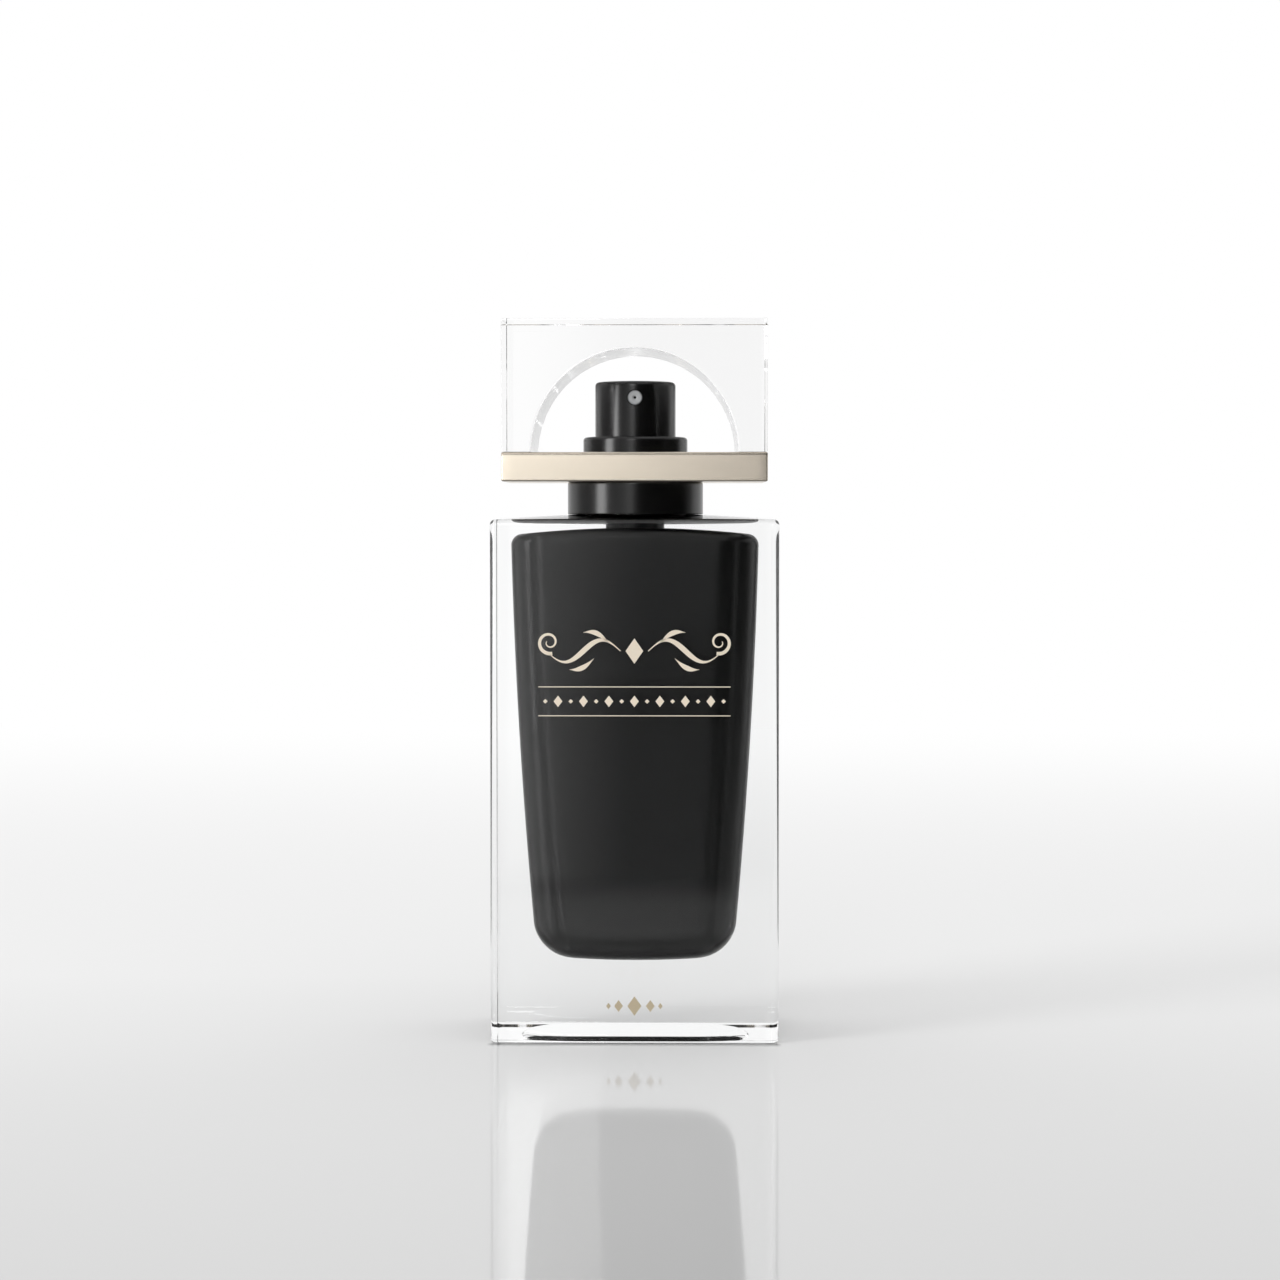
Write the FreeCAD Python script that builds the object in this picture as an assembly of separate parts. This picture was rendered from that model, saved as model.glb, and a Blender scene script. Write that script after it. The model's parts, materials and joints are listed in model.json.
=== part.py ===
"""A glass spray bottle with a clear arched cap, modelled as the pieces that it comes apart into.

Millimetres. +Z is up, the front face looks towards -Y, and the origin is on the surface that the bottle
stands on, under the pump's axis. Every piece is written to parts/ under its own name.
"""

import FreeCAD, Part
import math
import os

Vec = FreeCAD.Vector
UP = Vec(0, 0, 1)
FRONT = Vec(0, -1, 0)
AXIS_FOOT = Vec(0, 0, 0)

# Glass bottle, outside
glass_width = 50.0
glass_depth = 27.0
shoulder_height = 90.9  # at the shoulder's four edges
shoulder_crown = 1.1  # how far the shoulder swells up towards the neck
glass_corner_radius = 1.2
shoulder_edge_radius = 0.9
base_edge_radius = 0.5

# Glass bottle, foot: a ring to stand on round a hollow punt
foot_side_width = 5.0
foot_front_width = 2.5
punt_height = 0.9
punt_corner_radius = 11.0
punt_cove_radius = 3.0

# Glass bottle, reservoir: the walls thicken towards the base
side_wall_top = 3.4
side_wall_middle = 4.9
side_wall_base = 7.75
face_wall_top = 2.3
face_wall_middle = 3.1
face_wall_base = 4.5
base_thickness = 13.6
floor_rise = 0.9  # the reservoir's floor is this much higher at its ends
shoulder_wall = 2.6
ceiling_drop = 1.25  # the reservoir's ceiling is this much lower at its ends
reservoir_corner_radius = 7.0
reservoir_floor_radius = 5.7
reservoir_ceiling_radius = 1.8
lacquer_thickness = 0.15

# Glass bottle, crimp neck
neck_radius = 6.5
neck_height = 5.6
neck_bore_radius = 5.1
bead_radius = 7.5
bead_height = 3.4
lip_round = 0.5

# Pump, fixed pieces
gasket_thickness = 0.8
housing_flange_radius = 7.2
housing_flange_thickness = 1.1
plug_wall = 0.75  # housing wall round the gland
barrel_wall = 1.0  # housing wall round the piston
chamber_wall = 0.8  # housing wall round the spring and the dip tube
housing_taper = 1.0
gland_flange_width = 0.5
gland_flange_thickness = 0.6
gland_radius = 3.9
gland_length = 4.0
turret_wall = 1.2
turret_height = 1.3
ferrule_wall = 0.4
ferrule_round = 0.6
crimp_reach = 0.6  # how far the ferrule's rim turns in under the bead
crimp_height = 0.8
chamber_radius = 2.5
chamber_length = 6.8
ball_radius = 1.2
ball_lift = 0.7
ball_room = 0.3
ball_keeper = 0.1  # how far the keeper's rim reaches in over the ball
throat_radius = 0.7
throat_length = 1.0
dip_tube_radius = 1.2
dip_tube_bore_radius = 0.6
dip_tube_grip = 6.6
dip_tube_floor_gap = 2.0
dip_tube_bevel = 1.6

# Pump, moving pieces
press_stroke = 3.6
piston_radius = 3.17
piston_length = 4.2
piston_lip = 0.9
piston_waist = 0.4
stem_radius = 1.6
stem_bore_radius = 0.7
valve_head_radius = 2.3
valve_head_thickness = 1.4
valve_pin_length = 1.2
stem_port_radius = 0.35
stem_grip = 4.0
spring_wire_radius = 0.2
spring_coil_radius = 1.9
spring_turns = 6.5

# Spray button
button_radius = 7.1
button_height = 11.25
button_wall = 0.4
button_top_round = 0.7
nozzle_drop = 2.9  # from the button's top to the middle of its nozzle
nozzle_hole_radius = 1.38
nozzle_recess = 0.3
nozzle_radius = 1.25
nozzle_length = 2.4
nozzle_face = 0.6
orifice_radius = 0.25
swirl_post_radius = 0.7
core_wall = 0.9
core_top = 1.3
core_boss_radius = 2.7
core_bridge_width = 4.4
core_bridge_height = 4.6
core_skirt_gap = 0.7  # the core stops this far above the shell's rim
channel_radius = 0.55

# Collar
collar_radius = 11.95
collar_skirt_height = 5.65
collar_gap = 0.05  # between the collar and the highest part of the shoulder under its skirt
sleeve_radius = 9.2
sleeve_height = 7.9
collar_wall = 0.5
collar_edge_round = 0.4
sleeve_top_round = 0.6
sleeve_lip_thickness = 0.7
liner_wall = 0.9
liner_web = 0.9
liner_rise = 2.4  # how far the liner reaches up inside the sleeve
liner_rib_count = 12
liner_rib_thickness = 0.7

# Cap
cap_width = 46.0
cap_depth = 26.0
plate_thickness = 5.05
plate_edge_round = 0.45
block_height = 23.0
block_edge_round = 0.6
arch_radius = 17.85
arch_edge_round = 0.3
cap_liner_wall = 1.5
cap_liner_height = 4.1
cap_liner_lead = 0.5
cap_liner_groove = 0.3

# Clearances
bond = 0.02  # pieces that are glued, moulded or pressed together
running_fit = 0.05  # a stem, piston or cap that slides or turns
stop_gap = 0.05  # a moving piece and the stop that it rests against
button_gap = 0.25  # the button and the collar's mouth
turret_gap = 0.2  # the gland's turret and the ferrule's mouth
neck_gap = 0.3  # the pump's housing and the lacquered neck
spare_stroke = 0.3  # left over below the button at the end of its stroke

# Radii that pieces share
barrel_bore = piston_radius + running_fit / 2
gland_bore = gland_radius + bond
gland_flange_radius = gland_radius + gland_flange_width
turret_radius = stem_radius + running_fit + turret_wall
ferrule_inner = bead_radius + running_fit
ferrule_outer = ferrule_inner + ferrule_wall
button_inner = button_radius - button_wall
core_radius = button_inner - bond
sleeve_bore = sleeve_radius - collar_wall
skirt_bore = collar_radius - collar_wall
mouth_radius = button_radius + button_gap
cap_liner_bore = sleeve_radius + running_fit
cap_liner_radius = cap_liner_bore + cap_liner_wall

# Heights that pieces share
crown_top = shoulder_height + shoulder_crown
neck_top = crown_top + neck_height
flange_bottom = neck_top + gasket_thickness
flange_top = flange_bottom + housing_flange_thickness
ferrule_top = flange_top + ferrule_wall
turret_top = ferrule_top + turret_height
gland_bottom = flange_top - gland_flange_thickness - gland_length
piston_top = gland_bottom - stop_gap
piston_bottom = piston_top - piston_length
spring_top = piston_bottom - valve_head_thickness
barrel_bottom = spring_top - press_stroke - spare_stroke
spring_bottom = barrel_bottom - chamber_length
collar_seat = shoulder_height + shoulder_crown * (1 - (2 * skirt_bore / glass_width) ** 2)
collar_bottom = collar_seat + collar_gap
step_height = collar_bottom + collar_skirt_height
sleeve_top = step_height + sleeve_height
button_bottom = ferrule_top + press_stroke + spare_stroke
button_top = button_bottom + button_height
nozzle_height = button_top - nozzle_drop
plate_top = step_height + plate_thickness
block_top = plate_top + block_height


def turned(outline):
    """A solid of revolution about Z. The outline is (radius, height) corners, in order, without the last."""
    corners = [Vec(radius, 0, height) for radius, height in outline]
    face = Part.Face(Part.makePolygon(corners + corners[:1]))
    return face.revolve(AXIS_FOOT, UP, 360)


def rod(radius, low, high):
    """A round rod on the Z axis between two heights."""
    return Part.makeCylinder(radius, high - low, Vec(0, 0, low))


def forward_rod(radius, start, length, height):
    """A round rod that points forwards, starting `start` in front of the Z axis."""
    return Part.makeCylinder(radius, length, Vec(0, -start, height), FRONT)


def block(width, depth, low, high):
    """A rectangular block centred on the Z axis between two heights."""
    return Part.makeBox(width, depth, high - low, Vec(-width / 2, -depth / 2, low))


def rounded(shape, radius, chosen):
    """The shape with the edges that `chosen` picks rounded to a radius."""
    return shape.makeFillet(radius, [edge for edge in shape.Edges if chosen(edge)])


def is_upright(edge):
    """True for an edge that climbs: taller than it is wide."""
    box = edge.BoundBox
    return box.ZLength > max(box.XLength, box.YLength)


def lies_between(low, high):
    """A test for edges that lie wholly between two heights."""
    return lambda edge: edge.BoundBox.ZMin > low and edge.BoundBox.ZMax < high


def is_circle_at(radius, height):
    """A test for the circle of a radius about Z at a height."""

    def test(edge):
        box = edge.BoundBox
        level = abs(box.ZMin - height) < 1e-4 and abs(box.ZMax - height) < 1e-4
        return level and abs(box.XMax - radius) < 1e-4 and abs(box.XMin + radius) < 1e-4

    return test


def tub_profile(half_top, half_middle, half_base, floor, floor_end, ceiling, ceiling_end, place):
    """The reservoir seen along one axis: bowed sides, sagging floor and crowned ceiling, four arcs in all.

    `place` turns (across, height) into a point.
    """
    middle = (floor_end + ceiling_end) / 2
    base_left = place(-half_base, floor_end)
    base_right = place(half_base, floor_end)
    top_left = place(-half_top, ceiling_end)
    top_right = place(half_top, ceiling_end)
    sides = [
        Part.Arc(base_left, place(0, floor), base_right),
        Part.Arc(base_right, place(half_middle, middle), top_right),
        Part.Arc(top_right, place(0, ceiling), top_left),
        Part.Arc(top_left, place(-half_middle, middle), base_left),
    ]
    return Part.Face(Part.Wire([side.toShape() for side in sides]))


def reservoir(inset):
    """The hollow of the bottle, drawn in by `inset`: two bowed profiles crossed, with rounded corners."""
    floor = base_thickness + inset
    floor_end = floor + floor_rise
    ceiling = crown_top - shoulder_wall - inset
    ceiling_end = ceiling - ceiling_drop
    half_width = glass_width / 2 - inset
    half_depth = glass_depth / 2 - inset
    front = tub_profile(
        half_width - side_wall_top,
        half_width - side_wall_middle,
        half_width - side_wall_base,
        floor,
        floor_end,
        ceiling,
        ceiling_end,
        lambda across, height: Vec(across, -glass_depth / 2, height),
    )
    side = tub_profile(
        half_depth - face_wall_top,
        half_depth - face_wall_middle,
        half_depth - face_wall_base,
        floor - floor_rise,
        floor,
        crown_top + ceiling_drop,
        crown_top,
        lambda across, height: Vec(-glass_width / 2, across, height),
    )
    tub = front.extrude(Vec(0, glass_depth, 0)).common(side.extrude(Vec(glass_width, 0, 0)))
    tub = rounded(tub, reservoir_corner_radius - inset, is_upright)
    waist = (floor + ceiling) / 2
    tub = rounded(tub, reservoir_floor_radius - inset, lies_between(0, waist))
    return rounded(tub, reservoir_ceiling_radius - inset, lies_between(waist, crown_top))


def hollow(inset):
    """The reservoir and the bore of the neck as one space, drawn in by `inset`."""
    waist = (base_thickness + crown_top) / 2
    return reservoir(inset).fuse(rod(neck_bore_radius - inset, waist, neck_top)).removeSplitter()


def glass_block():
    """The bottle's outside: straight walls under a shoulder that swells as a product of two parabolas."""
    surface = Part.BezierSurface()
    surface.increase(2, 2)
    for i in range(3):
        for j in range(3):
            lift = 4 * shoulder_crown if i == j == 1 else 0
            across = (i - 1) * glass_width / 2
            along = (j - 1) * glass_depth / 2
            surface.setPole(i + 1, j + 1, Vec(across, along, shoulder_height + lift))
    body = surface.toShape().extrude(Vec(0, 0, -2 * shoulder_height))
    body = body.common(block(2 * glass_width, 2 * glass_depth, 0, 2 * shoulder_height))
    body = rounded(body, glass_corner_radius, is_upright)
    waist = shoulder_height / 2
    body = rounded(body, shoulder_edge_radius, lies_between(waist, 2 * shoulder_height))
    return rounded(body, base_edge_radius, lies_between(-1, waist))


def punt():
    """The dished hollow under the base, which leaves a ring to stand on: the cove's arc meets the ground."""
    below_ground = punt_cove_radius - punt_height
    flare = punt_cove_radius - math.sqrt(punt_cove_radius**2 - below_ground**2)
    width = glass_width - 2 * foot_side_width + 2 * flare
    depth = glass_depth - 2 * foot_front_width + 2 * flare
    corner = min(punt_corner_radius, 0.45 * width, 0.45 * depth)
    cutter = block(width, depth, -2 * punt_cove_radius, punt_height)
    cutter = rounded(cutter, corner, is_upright)
    return rounded(cutter, punt_cove_radius, lies_between(0, 2 * punt_height))


def glass_bottle():
    """The bottle with its punt, reservoir and beaded neck."""
    bead_bottom = neck_top - bead_height
    bead_step = bead_radius - neck_radius
    neck = turned(
        [
            (0, shoulder_height),
            (neck_radius, shoulder_height),
            (neck_radius, bead_bottom),
            (bead_radius, bead_bottom + bead_step),
            (bead_radius, neck_top),
            (0, neck_top),
        ]
    )
    neck = rounded(neck, lip_round, is_circle_at(bead_radius, neck_top))
    return glass_block().fuse(neck).cut(punt()).cut(hollow(0)).removeSplitter()


def inner_lacquer():
    """The black film on the inside of the glass, as far as the mouth of the neck."""
    return hollow(bond).cut(hollow(bond + lacquer_thickness))


def neck_gasket():
    """A flat washer on the lip of the neck."""
    inner = neck_bore_radius - neck_gap
    return rod(housing_flange_radius, neck_top, flange_bottom).cut(rod(inner, neck_top, flange_bottom))


def crimp_ferrule():
    """The metal cup that clamps the pump to the neck, with its rim turned in under the bead."""
    turn_in = bead_radius - neck_radius - crimp_reach
    inner_foot = ferrule_inner - crimp_reach
    outer_foot = inner_foot + ferrule_wall
    slope_top = neck_top - bead_height + bead_radius - neck_radius - running_fit
    slope_bottom = slope_top - crimp_reach
    rim = slope_bottom - crimp_height + turn_in / 2
    cup = turned(
        [
            (turret_radius + turret_gap, flange_top),
            (ferrule_inner, flange_top),
            (ferrule_inner, slope_top),
            (inner_foot, slope_bottom),
            (inner_foot, rim),
            (outer_foot, rim),
            (outer_foot, slope_bottom - ferrule_wall / 2),
            (ferrule_outer, slope_top - ferrule_wall / 2),
            (ferrule_outer, ferrule_top),
            (turret_radius + turret_gap, ferrule_top),
        ]
    )
    return rounded(cup, ferrule_round, is_circle_at(ferrule_outer, ferrule_top))


ball_room_radius = ball_radius + ball_room
keeper_radius = ball_radius - ball_keeper
cone_top = ball_room_radius - throat_radius  # height of the 45 degree seat
seat_drop = ball_radius * math.sqrt(2) - throat_radius  # ball centre above the foot of the seat
keeper_rise = math.sqrt(ball_radius**2 - keeper_radius**2)
keeper_height = 0.4
keeper_bottom = spring_bottom - keeper_height
ball_height = keeper_bottom - keeper_rise - ball_lift - stop_gap  # ball centre at rest
seat_foot = ball_height - seat_drop - stop_gap
tube_stop = seat_foot - throat_length
housing_bottom = tube_stop - dip_tube_grip


def pump_housing():
    """The stepped body that hangs in the neck: gland seat, piston bore, spring chamber, ball seat, tube grip."""
    plug_radius = gland_bore + plug_wall
    barrel_radius = barrel_bore + barrel_wall
    chamber_outer = chamber_radius + chamber_wall
    tail_radius = dip_tube_radius + bond + chamber_wall
    seat_top = flange_top - gland_flange_thickness
    return turned(
        [
            (gland_flange_radius + bond, flange_top),
            (housing_flange_radius, flange_top),
            (housing_flange_radius, flange_bottom),
            (plug_radius, flange_bottom),
            (plug_radius, gland_bottom - plug_wall),
            (barrel_radius, gland_bottom - plug_wall - housing_taper),
            (barrel_radius, barrel_bottom - barrel_wall),
            (chamber_outer, barrel_bottom - barrel_wall - housing_taper),
            (chamber_outer, seat_foot),
            (tail_radius, seat_foot - housing_taper),
            (tail_radius, housing_bottom),
            (dip_tube_radius + bond, housing_bottom),
            (dip_tube_radius + bond, tube_stop),
            (throat_radius, tube_stop),
            (throat_radius, seat_foot),
            (ball_room_radius, seat_foot + cone_top),
            (ball_room_radius, keeper_bottom),
            (keeper_radius, keeper_bottom),
            (keeper_radius, spring_bottom),
            (chamber_radius, spring_bottom),
            (chamber_radius, barrel_bottom),
            (barrel_bore, barrel_bottom),
            (barrel_bore, gland_bottom),
            (gland_bore, gland_bottom),
            (gland_bore, seat_top),
            (gland_flange_radius + bond, seat_top),
        ]
    )


def pump_gland():
    """The plug that closes the housing, stops the piston and guides the stem through its turret."""
    guide = stem_radius + running_fit
    seat_top = flange_top - gland_flange_thickness
    return turned(
        [
            (guide, gland_bottom),
            (gland_radius, gland_bottom),
            (gland_radius, seat_top),
            (gland_flange_radius, seat_top),
            (gland_flange_radius, flange_top),
            (turret_radius, flange_top),
            (turret_radius, turret_top),
            (guide, turret_top),
        ]
    )


def inlet_ball():
    """The steel ball of the inlet valve, just clear of its seat."""
    return Part.makeSphere(ball_radius, Vec(0, 0, ball_height))


def dip_tube():
    """The suction tube, from its grip in the housing to just over the reservoir's floor, cut off on a slant."""
    low = base_thickness + dip_tube_floor_gap
    tube = rod(dip_tube_radius, low, tube_stop)
    tube = tube.cut(rod(dip_tube_bore_radius, low, tube_stop))
    half = 2 * dip_tube_radius
    corners = [
        Vec(-half, -half, low - dip_tube_bevel / 2),
        Vec(half, -half, low - dip_tube_bevel / 2),
        Vec(half, -half, low + 1.5 * dip_tube_bevel),
    ]
    wedge = Part.Face(Part.makePolygon(corners + corners[:1])).extrude(Vec(0, 2 * half, 0))
    return tube.cut(wedge)


def tangent_arc(start, corner, end):
    """The arc from start to end whose end tangents meet at corner, which is as far from both."""
    chord_middle = (start + end) * 0.5
    half_chord = (end - start).Length / 2
    lean = math.atan2((corner - chord_middle).Length, half_chord)
    sagitta = half_chord * math.tan(lean / 2)
    crest = chord_middle + (corner - chord_middle).normalize() * sagitta
    return Part.Arc(start, crest, end).toShape()


def coil_point(turn, pitch, low):
    """Point and unit tangent of the spring's helix after a number of turns."""
    angle = 2 * math.pi * turn
    point = Vec(
        spring_coil_radius * math.cos(angle), spring_coil_radius * math.sin(angle), low + pitch * turn
    )
    tangent = Vec(
        -spring_coil_radius * math.sin(angle),
        spring_coil_radius * math.cos(angle),
        pitch / (2 * math.pi),
    )
    return point, tangent.normalize()


def return_spring():
    """The spring under the stem: one round wire swept along a helix of pairs of tangent arcs, a pair to
    each quarter turn."""
    low = spring_bottom + spring_wire_radius + bond
    high = spring_top - spring_wire_radius - bond
    pitch = (high - low) / spring_turns
    steps = round(4 * spring_turns)
    print("least gap in the spring:", round(pitch - 2 * spring_wire_radius, 2))
    arcs = []
    for step in range(steps):
        start, leaving = coil_point(step / 4, pitch, low)
        end, arriving = coil_point((step + 1) / 4, pitch, low)
        across = end - start
        both = leaving + arriving
        bend = 2 * (1 - leaving.dot(arriving))
        along = across.dot(both)
        reach = (math.sqrt(along**2 + bend * across.dot(across)) - along) / bend
        first = start + leaving * reach
        second = end - arriving * reach
        joint = (first + second) * 0.5
        arcs += [tangent_arc(start, first, joint), tangent_arc(joint, second, end)]
    start, leaving = coil_point(0, pitch, low)
    section = Part.Wire(Part.makeCircle(spring_wire_radius, start, leaving))
    return Part.Wire(arcs).makePipeShell([section], True, False)


def piston():
    """The piston: two sealing lips and a waist, bored for the stem."""
    bore = stem_radius + running_fit
    waist = piston_radius - piston_waist
    return turned(
        [
            (bore, piston_bottom),
            (piston_radius, piston_bottom),
            (piston_radius, piston_bottom + piston_lip),
            (waist, piston_bottom + piston_lip + piston_waist),
            (waist, piston_top - piston_lip - piston_waist),
            (piston_radius, piston_top - piston_lip),
            (piston_radius, piston_top),
            (bore, piston_top),
        ]
    )


socket_top = nozzle_height - core_bridge_height / 2 + channel_radius
socket_bottom = socket_top - stem_grip


def stem():
    """The hollow stem: bored right through, with a side port in its waist, up to the button's socket."""
    port_height = piston_bottom + piston_length / 2
    tube = rod(stem_radius, piston_bottom, socket_top).cut(rod(stem_bore_radius, piston_bottom, socket_top))
    return tube.cut(forward_rod(stem_port_radius, -2 * stem_radius, 4 * stem_radius, port_height))


def valve_core():
    """The head that the spring lifts: it closes the foot of the stem, with a pin that centres it there."""
    head = rod(valve_head_radius, spring_top, piston_bottom)
    return head.fuse(rod(stem_bore_radius - running_fit, spring_top, piston_bottom + valve_pin_length))


def button_shell():
    """The drawn metal cup over the button, with a round hole for the nozzle."""
    cup = rod(button_radius, button_bottom, button_top)
    cup = rounded(cup, button_top_round, is_circle_at(button_radius, button_top))
    cup = cup.cut(rod(button_inner, button_bottom, button_top - button_wall))
    return cup.cut(forward_rod(nozzle_hole_radius, core_radius / 2, button_radius, nozzle_height))


def button_core():
    """The moulding inside the button: skirt, stem socket, and a bridge that carries the spray channel."""
    low = button_bottom + core_skirt_gap
    high = button_top - button_wall - bond
    core = rod(core_radius, low, high)
    core = rounded(core, button_top_round - button_wall, is_circle_at(core_radius, high))
    core = core.cut(rod(core_radius - core_wall, low, high - core_top))
    core = core.fuse(rod(core_boss_radius, socket_bottom, high - core_top / 2))
    bridge_bottom = nozzle_height - core_bridge_height / 2
    bridge = Part.makeBox(
        core_bridge_width,
        core_radius,
        high - core_top / 2 - bridge_bottom,
        Vec(-core_bridge_width / 2, -core_radius, bridge_bottom),
    )
    core = core.fuse(bridge.common(rod(core_radius - core_wall / 2, low, high)))
    seat = button_radius - nozzle_recess - nozzle_length - bond
    core = core.cut(rod(stem_radius + bond, socket_bottom, socket_top + bond))
    core = core.cut(rod(channel_radius, socket_top, nozzle_height + channel_radius))
    core = core.cut(forward_rod(channel_radius, 0, seat + channel_radius, nozzle_height))
    pocket = forward_rod(nozzle_radius + bond, seat, button_radius, nozzle_height)
    post_length = nozzle_length - nozzle_face - channel_radius
    post = forward_rod(swirl_post_radius, seat - channel_radius, post_length + channel_radius, nozzle_height)
    return core.cut(pocket).fuse(post.cut(forward_rod(channel_radius / 2, 0, seat, nozzle_height)))


def nozzle_insert():
    """The cup that makes the spray: a thin face with the orifice, open behind over the swirl post."""
    face = button_radius - nozzle_recess
    start = face - nozzle_length
    cup = forward_rod(nozzle_radius, start, nozzle_length, nozzle_height)
    bore_radius = (nozzle_radius + swirl_post_radius) / 2
    cup = cup.cut(forward_rod(bore_radius, start, nozzle_length - nozzle_face, nozzle_height))
    return cup.cut(forward_rod(orifice_radius, start, nozzle_length, nozzle_height))


def collar_shell():
    """The drawn metal collar: a wide skirt, a step that carries the cap, and a sleeve round the button."""
    shell = turned(
        [
            (skirt_bore, collar_bottom),
            (collar_radius, collar_bottom),
            (collar_radius, step_height),
            (sleeve_radius, step_height),
            (sleeve_radius, sleeve_top),
            (mouth_radius, sleeve_top),
            (mouth_radius, sleeve_top - sleeve_lip_thickness),
            (sleeve_bore, sleeve_top - sleeve_lip_thickness),
            (sleeve_bore, step_height - collar_wall),
            (skirt_bore, step_height - collar_wall),
        ]
    )
    shell = rounded(shell, collar_edge_round, is_circle_at(collar_radius, step_height))
    return rounded(shell, sleeve_top_round, is_circle_at(sleeve_radius, sleeve_top))


def collar_liner():
    """The moulded ring that grips the ferrule inside the collar, with ribs round its skirt."""
    inner = ferrule_outer + bond
    sleeve_side = sleeve_bore - bond
    skirt_side = skirt_bore - bond
    web_top = step_height - collar_wall - bond
    web_bottom = web_top - liner_web
    foot = collar_bottom + collar_wall
    ring = turned(
        [
            (inner, foot),
            (inner + liner_wall, foot),
            (inner + liner_wall, web_bottom),
            (skirt_side - liner_wall, web_bottom),
            (skirt_side - liner_wall, foot),
            (skirt_side, foot),
            (skirt_side, web_top),
            (sleeve_side, web_top),
            (sleeve_side, web_top + liner_rise),
            (inner, web_top + liner_rise),
        ]
    )
    rib_length = skirt_side - inner - liner_wall
    rib = Part.makeBox(
        rib_length,
        liner_rib_thickness,
        web_bottom - foot,
        Vec(inner + liner_wall / 2, -liner_rib_thickness / 2, foot),
    )
    for turn in range(liner_rib_count):
        placed = rib.copy()
        placed.rotate(AXIS_FOOT, UP, 360 * turn / liner_rib_count)
        ring = ring.fuse(placed)
    return ring.removeSplitter()


def cap_plate():
    """The metal plate under the clear block, bored for the collar's sleeve and for the liner that grips it."""
    plate = block(cap_width, cap_depth, step_height, plate_top)
    plate = rounded(plate, plate_edge_round, lambda edge: True)
    plate = plate.cut(rod(cap_liner_bore, step_height, plate_top))
    return plate.cut(rod(cap_liner_radius + bond, step_height, step_height + cap_liner_height + bond))


def cap_liner():
    """The moulded ring pressed into the plate, with a lead-in and a shallow groove that lets it spring."""
    low = step_height
    high = step_height + cap_liner_height
    groove_bottom = low + cap_liner_height / 3
    groove_top = high - cap_liner_height / 3
    return turned(
        [
            (cap_liner_bore + cap_liner_lead, low),
            (cap_liner_radius, low),
            (cap_liner_radius, high),
            (cap_liner_bore, high),
            (cap_liner_bore, groove_top),
            (cap_liner_bore + cap_liner_groove, groove_top),
            (cap_liner_bore + cap_liner_groove, groove_bottom),
            (cap_liner_bore, groove_bottom),
            (cap_liner_bore, low + cap_liner_lead),
        ]
    )


def cap_block():
    """The clear block with a half-round arch straight through it, from front to back."""
    solid = block(cap_width, cap_depth, plate_top, block_top)
    solid = rounded(solid, block_edge_round, lambda edge: edge.BoundBox.ZMax > plate_top + block_edge_round)
    arch = Part.makeCylinder(arch_radius, 2 * cap_depth, Vec(0, -cap_depth, plate_top), Vec(0, 1, 0))
    solid = solid.cut(arch)

    def is_arch_rim(edge):
        box = edge.BoundBox
        flat = box.YLength < 1e-4
        return flat and abs(box.XMax - arch_radius) < 1e-3 and box.ZLength > arch_radius / 2

    return rounded(solid, arch_edge_round, is_arch_rim)


def main():
    """Write every piece to parts/, and print the reservoir's volume as a check on the bottle's size."""
    os.makedirs("parts", exist_ok=True)
    makers = [
        glass_bottle,
        inner_lacquer,
        neck_gasket,
        crimp_ferrule,
        pump_housing,
        pump_gland,
        inlet_ball,
        dip_tube,
        return_spring,
        piston,
        stem,
        valve_core,
        button_shell,
        button_core,
        nozzle_insert,
        collar_shell,
        collar_liner,
        cap_plate,
        cap_liner,
        cap_block,
    ]
    for maker in makers:
        maker().exportStep("parts/" + maker.__name__ + ".step")
    print("brimful volume in ml:", round(hollow(bond + lacquer_thickness).Volume / 1000, 1))


if __name__ == "__main__":
    main()
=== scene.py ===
"""The look of a glass spray bottle with a clear arched cap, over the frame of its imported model.

Shapes are written in millimetres, as grids of points made from formulas, and stored in metres. +Z is up and
the front looks towards -Y. The visible pieces are drawn finer than the frame's; the hidden ones keep theirs.
"""

import json
import math

import bpy
import numpy as np
from mathutils import Euler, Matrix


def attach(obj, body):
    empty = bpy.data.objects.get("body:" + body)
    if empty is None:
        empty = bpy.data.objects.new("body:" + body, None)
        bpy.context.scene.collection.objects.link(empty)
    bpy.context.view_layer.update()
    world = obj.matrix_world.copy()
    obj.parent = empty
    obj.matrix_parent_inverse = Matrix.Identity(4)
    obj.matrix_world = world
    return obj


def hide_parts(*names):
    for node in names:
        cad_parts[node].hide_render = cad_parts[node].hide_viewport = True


MM = 0.001
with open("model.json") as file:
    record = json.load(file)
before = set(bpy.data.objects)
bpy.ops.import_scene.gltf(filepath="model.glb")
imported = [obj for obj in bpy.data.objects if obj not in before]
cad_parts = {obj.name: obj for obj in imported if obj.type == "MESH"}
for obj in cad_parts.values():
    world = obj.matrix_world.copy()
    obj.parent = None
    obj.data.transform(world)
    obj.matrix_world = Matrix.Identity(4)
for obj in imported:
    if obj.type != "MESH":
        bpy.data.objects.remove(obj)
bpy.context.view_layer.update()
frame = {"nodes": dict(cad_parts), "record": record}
scene = bpy.context.scene

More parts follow.
